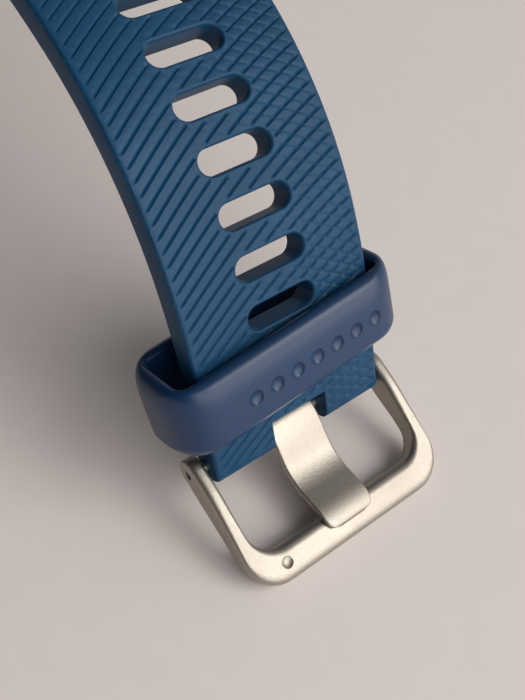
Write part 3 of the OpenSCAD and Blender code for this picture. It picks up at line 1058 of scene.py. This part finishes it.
class WATCH_OT_strap_halves(bpy.types.Operator):
    """Ribbed rubber halves with their slots, notch and bores"""

    bl_idname = "watch.strap_halves"
    bl_label = "Strap halves"

    def execute(self, context):
        sizes, colours = context.scene.watch_sizes, context.scene.watch_colours
        rubber = new_material(
            "strap_rubber", colours.strap, shade(colours.strap, 0.86), (0.42, 0.52),
            grain=5200, bump=0.05, speck=0.25, Specular_IOR_Level=0.24,
        )  # fmt: skip
        build_buckle_half(sizes, rubber)
        build_tail_half(sizes, rubber)
        return {"FINISHED"}


class WATCH_OT_keeper(bpy.types.Operator):
    """Smooth rubber loop with a row of dimples"""

    bl_idname = "watch.keeper"
    bl_label = "Keeper"

    def execute(self, context):
        sizes, colours = context.scene.watch_sizes, context.scene.watch_colours
        rubber = new_material(
            "keeper_rubber", colours.keeper, shade(colours.keeper, 0.88), (0.3, 0.38),
            grain=2600, bump=0.03, speck=0.08,
        )  # fmt: skip
        build_keeper(sizes, rubber)
        return {"FINISHED"}


class WATCH_OT_buckle(bpy.types.Operator):
    """Blasted steel frame and its bent tongue"""

    bl_idname = "watch.buckle"
    bl_label = "Buckle"

    def execute(self, context):
        colours = context.scene.watch_colours
        steel = new_material(
            "buckle_steel", colours.steel, shade(colours.steel, 0.93), (0.42, 0.5), metallic=1.0,
            grain=5000, bump=0.12, speck=0.12,
        )  # fmt: skip
        build_buckle_frame(steel)
        build_tongue(steel)
        return {"FINISHED"}


class WATCH_OT_bars(bpy.types.Operator):
    """Finish of the spring bars, their pins and springs"""

    bl_idname = "watch.bars"
    bl_label = "Spring bars"

    def execute(self, context):
        steel = new_material(
            "bar_steel", (0.52, 0.52, 0.53), (0.46, 0.46, 0.47), (0.25, 0.34), metallic=1.0,
            bump=0.1, brushed=(2500.0, 60.0, 60.0),
        )  # fmt: skip
        paint([n for n in frame["nodes"] if "_bar_" in n or n.endswith("_pin")], steel)
        return {"FINISHED"}


CASE_FINISHES = {
    "bezel_metal": ((0.22, 0.23, 0.25), (0.19, 0.20, 0.22), (0.26, 0.34), 1.0),
    "seal_rubber": ((0.02, 0.02, 0.022), (0.028, 0.028, 0.03), (0.55, 0.7), 0.0),
    "display_black": ((0.012, 0.016, 0.02), (0.016, 0.02, 0.025), (0.12, 0.18), 0.0),
    "chassis_metal": ((0.5, 0.51, 0.53), (0.44, 0.45, 0.47), (0.35, 0.45), 1.0),
    "board": ((0.01, 0.11, 0.05), (0.012, 0.14, 0.07), (0.25, 0.35), 0.0),
    "shield_metal": ((0.6, 0.61, 0.62), (0.5, 0.51, 0.53), (0.25, 0.4), 1.0),
    "antenna_ceramic": ((0.5, 0.4, 0.28), (0.45, 0.36, 0.25), (0.45, 0.55), 0.0),
    "battery_foil": ((0.55, 0.56, 0.58), (0.48, 0.49, 0.52), (0.3, 0.45), 1.0),
    "cradle_plastic": ((0.03, 0.03, 0.033), (0.025, 0.025, 0.028), (0.4, 0.5), 0.0),
    "beeper_brass": ((0.65, 0.45, 0.17), (0.55, 0.38, 0.14), (0.25, 0.4), 1.0),
    "screw_steel": ((0.42, 0.43, 0.45), (0.36, 0.37, 0.39), (0.22, 0.32), 1.0),
    "contact_gold": ((0.83, 0.58, 0.2), (0.76, 0.52, 0.18), (0.18, 0.28), 1.0),
    "button_metal": ((0.3, 0.31, 0.33), (0.26, 0.27, 0.29), (0.22, 0.3), 1.0),
}


class WATCH_OT_case(bpy.types.Operator):
    """Finishes of the case, its buttons and everything in it"""

    bl_idname = "watch.case"
    bl_label = "Case"

    def execute(self, context):
        colours = context.scene.watch_colours
        slots = {}
        for part in frame["record"]["subparts"]:
            slots.setdefault(part["material_slot"], []).append(part["node"])
        shell = new_material(
            "case_polymer", colours.case, shade(colours.case, 0.8), (0.4, 0.5),
            grain=4200, bump=0.15,
        )  # fmt: skip
        paint(slots["case_polymer"], shell)
        for slot, (colour, patch, rough, metallic) in CASE_FINISHES.items():
            made = new_material(slot, colour, patch, rough, metallic)
            if slot == "display_black":
                show_hole(made)
            elif slot == "bezel_metal":
                add_ticks(made, 0.0181, 0.0192, (0.62, 0.63, 0.64))
            paint(slots[slot], made)
        glass = new_material(
            "lens_glass", (0.95, 0.97, 0.98), (0.93, 0.96, 0.97), (0.02, 0.04), bump=0.0,
            Transmission_Weight=1.0, IOR=1.45,
        )  # fmt: skip
        paint(slots["lens_glass"], glass)
        return {"FINISHED"}


def area_light(name, place, target, size, power, colour):
    data = bpy.data.lights.new(name, "AREA")
    data.shape = "RECTANGLE"
    data.size, data.size_y = size
    data.energy = power
    data.color = colour
    lamp = bpy.data.objects.new(name, data)
    bpy.context.scene.collection.objects.link(lamp)
    away = (Vector(place) - Vector(target)).normalized()
    turn = away.to_track_quat("Z", "Y").to_matrix().to_4x4()
    lamp.matrix_world = Matrix.Translation(place) @ turn
    return lamp


def room_world():
    """A dim room that is brighter towards the window."""
    world = bpy.data.worlds.new("room")
    world.use_nodes = True
    tree = world.node_tree
    place = tree.nodes.new("ShaderNodeTexCoord")
    towards = tree.nodes.new("ShaderNodeVectorMath")
    towards.operation = "DOT_PRODUCT"
    towards.inputs[1].default_value = Vector((0.75, -0.45, 0.3)).normalized()
    link(tree, place.outputs["Generated"], towards.inputs[0])
    ramp = tree.nodes.new("ShaderNodeValToRGB")
    spread = tree.nodes.new("ShaderNodeMapRange")
    spread.inputs["From Min"].default_value = -1
    link(tree, towards.outputs["Value"], spread.inputs["Value"])
    link(tree, spread.outputs["Result"], ramp.inputs["Fac"])
    dim, bright = ramp.color_ramp.elements
    dim.position, dim.color = 0.45, (0.05, 0.049, 0.051, 1)
    bright.position, bright.color = 1.0, (0.6, 0.59, 0.575, 1)
    back = tree.nodes["Background"]
    link(tree, ramp.outputs["Color"], back.inputs["Color"])
    back.inputs["Strength"].default_value = 1.0
    return world


class WATCH_OT_stage(bpy.types.Operator):
    """Pale table, soft light and the camera"""

    bl_idname = "watch.stage"
    bl_label = "Stage"

    def execute(self, context):
        scene = context.scene
        table = new_material(
            "table", scene.watch_colours.table, shade(scene.watch_colours.table, 0.97),
            (0.55, 0.65), patch_scale=6, grain=700, bump=0.03, speck=0.03,
        )  # fmt: skip
        bm = bmesh.new()
        bmesh.ops.create_grid(bm, x_segments=2, y_segments=2, size=1.5)
        mesh = bpy.data.meshes.new("table")
        bmesh.ops.translate(bm, vec=(0, 0, FLOOR_Z - 0.00005), verts=bm.verts)
        bm.to_mesh(mesh)
        bm.free()
        mesh.materials.append(table)
        floor = bpy.data.objects.new("table", mesh)
        scene.collection.objects.link(floor)
        target = (0.0, -0.07, -0.03)
        area_light("window", (0.16, -0.84, 0.40), target, (1.5, 1.1), 11, (1, 0.975, 0.95))
        area_light("skylight", (0.36, -0.43, 0.59), target, (0.4, 0.4), 1.5, (1, 0.985, 0.96))
        scene.world = room_world()
        scene.view_settings.view_transform = "Standard"
        data = bpy.data.cameras.new("camera")
        data.lens, data.sensor_width = 46.15, 36
        data.clip_start = 0.005
        camera = bpy.data.objects.new("camera", data)
        scene.collection.objects.link(camera)
        forward = Vector((0.444, 0.386, -0.809)).normalized()
        right = Vector((0.784, -0.605, 0.142)).normalized()
        up = right.cross(forward).normalized()
        right = forward.cross(up)
        camera.matrix_world = Matrix(
            (
                (right.x, up.x, -forward.x, -0.04178),
                (right.y, up.y, -forward.y, -0.10202),
                (right.z, up.z, -forward.z, 0.04993),
                (0, 0, 0, 1),
            )
        )
        scene.camera = camera
        return {"FINISHED"}


class WATCH_PT_panel(bpy.types.Panel):
    """Lists the watch's pieces and their sizes and colours"""

    bl_idname = "WATCH_PT_panel"
    bl_label = "Golf GPS watch"
    bl_space_type = "VIEW_3D"
    bl_region_type = "UI"
    bl_category = "Watch"

    def draw(self, context):
        for step in STEPS:
            self.layout.operator(step.bl_idname)
        for group in (context.scene.watch_sizes, context.scene.watch_colours):
            for name in group.bl_rna.properties.keys():
                if name not in ("rna_type", "name"):
                    self.layout.prop(group, name)


STEPS = (
    WATCH_OT_stage,
    WATCH_OT_strap_halves,
    WATCH_OT_keeper,
    WATCH_OT_buckle,
    WATCH_OT_bars,
    WATCH_OT_case,
)
CLASSES = (WatchSizes, WatchColours, *STEPS, WATCH_PT_panel)


def register():
    for cls in CLASSES:
        bpy.utils.register_class(cls)
    bpy.types.Scene.watch_sizes = PointerProperty(type=WatchSizes)
    bpy.types.Scene.watch_colours = PointerProperty(type=WatchColours)


def unregister():
    del bpy.types.Scene.watch_sizes
    del bpy.types.Scene.watch_colours
    for cls in reversed(CLASSES):
        bpy.utils.unregister_class(cls)


def main():
    register()
    for step in STEPS:
        area, name = step.bl_idname.split(".")
        getattr(getattr(bpy.ops, area), name)()


if __name__ == "__main__":
    main()
